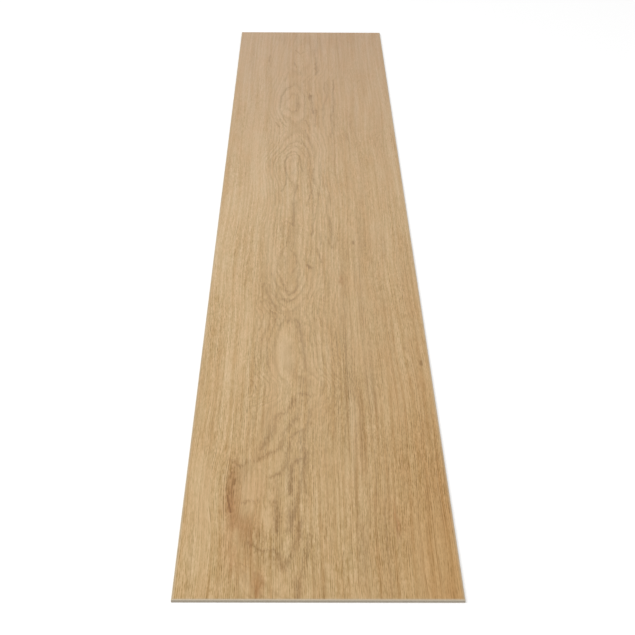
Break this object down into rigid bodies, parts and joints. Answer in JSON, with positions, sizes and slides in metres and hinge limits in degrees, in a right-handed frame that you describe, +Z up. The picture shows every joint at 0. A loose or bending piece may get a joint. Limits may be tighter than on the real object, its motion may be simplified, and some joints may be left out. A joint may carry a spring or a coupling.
{
  "type": "glue-down vinyl floor plank",
  "caption": "Thin flat floor plank with a printed oak wear face, micro-bevelled top edges, square-cut sides for butt joints and a plain back that is glued to the subfloor.",
  "frame": {"origin": "centre of the back face, which lies on the floor and takes the glue", "axes": "+Y along the length, away from the end that is nearest in the picture; +X across the width; +Z up out of the wear face"},
  "size_m": [0.1778, 1.2192, 0.002],
  "materials": {
    "vinyl": "matt embossed oak print over a grey-beige filled vinyl sheet"
  },
  "bodies": {
    "root": {"plank": "vinyl"}
  },
  "joints": []
}
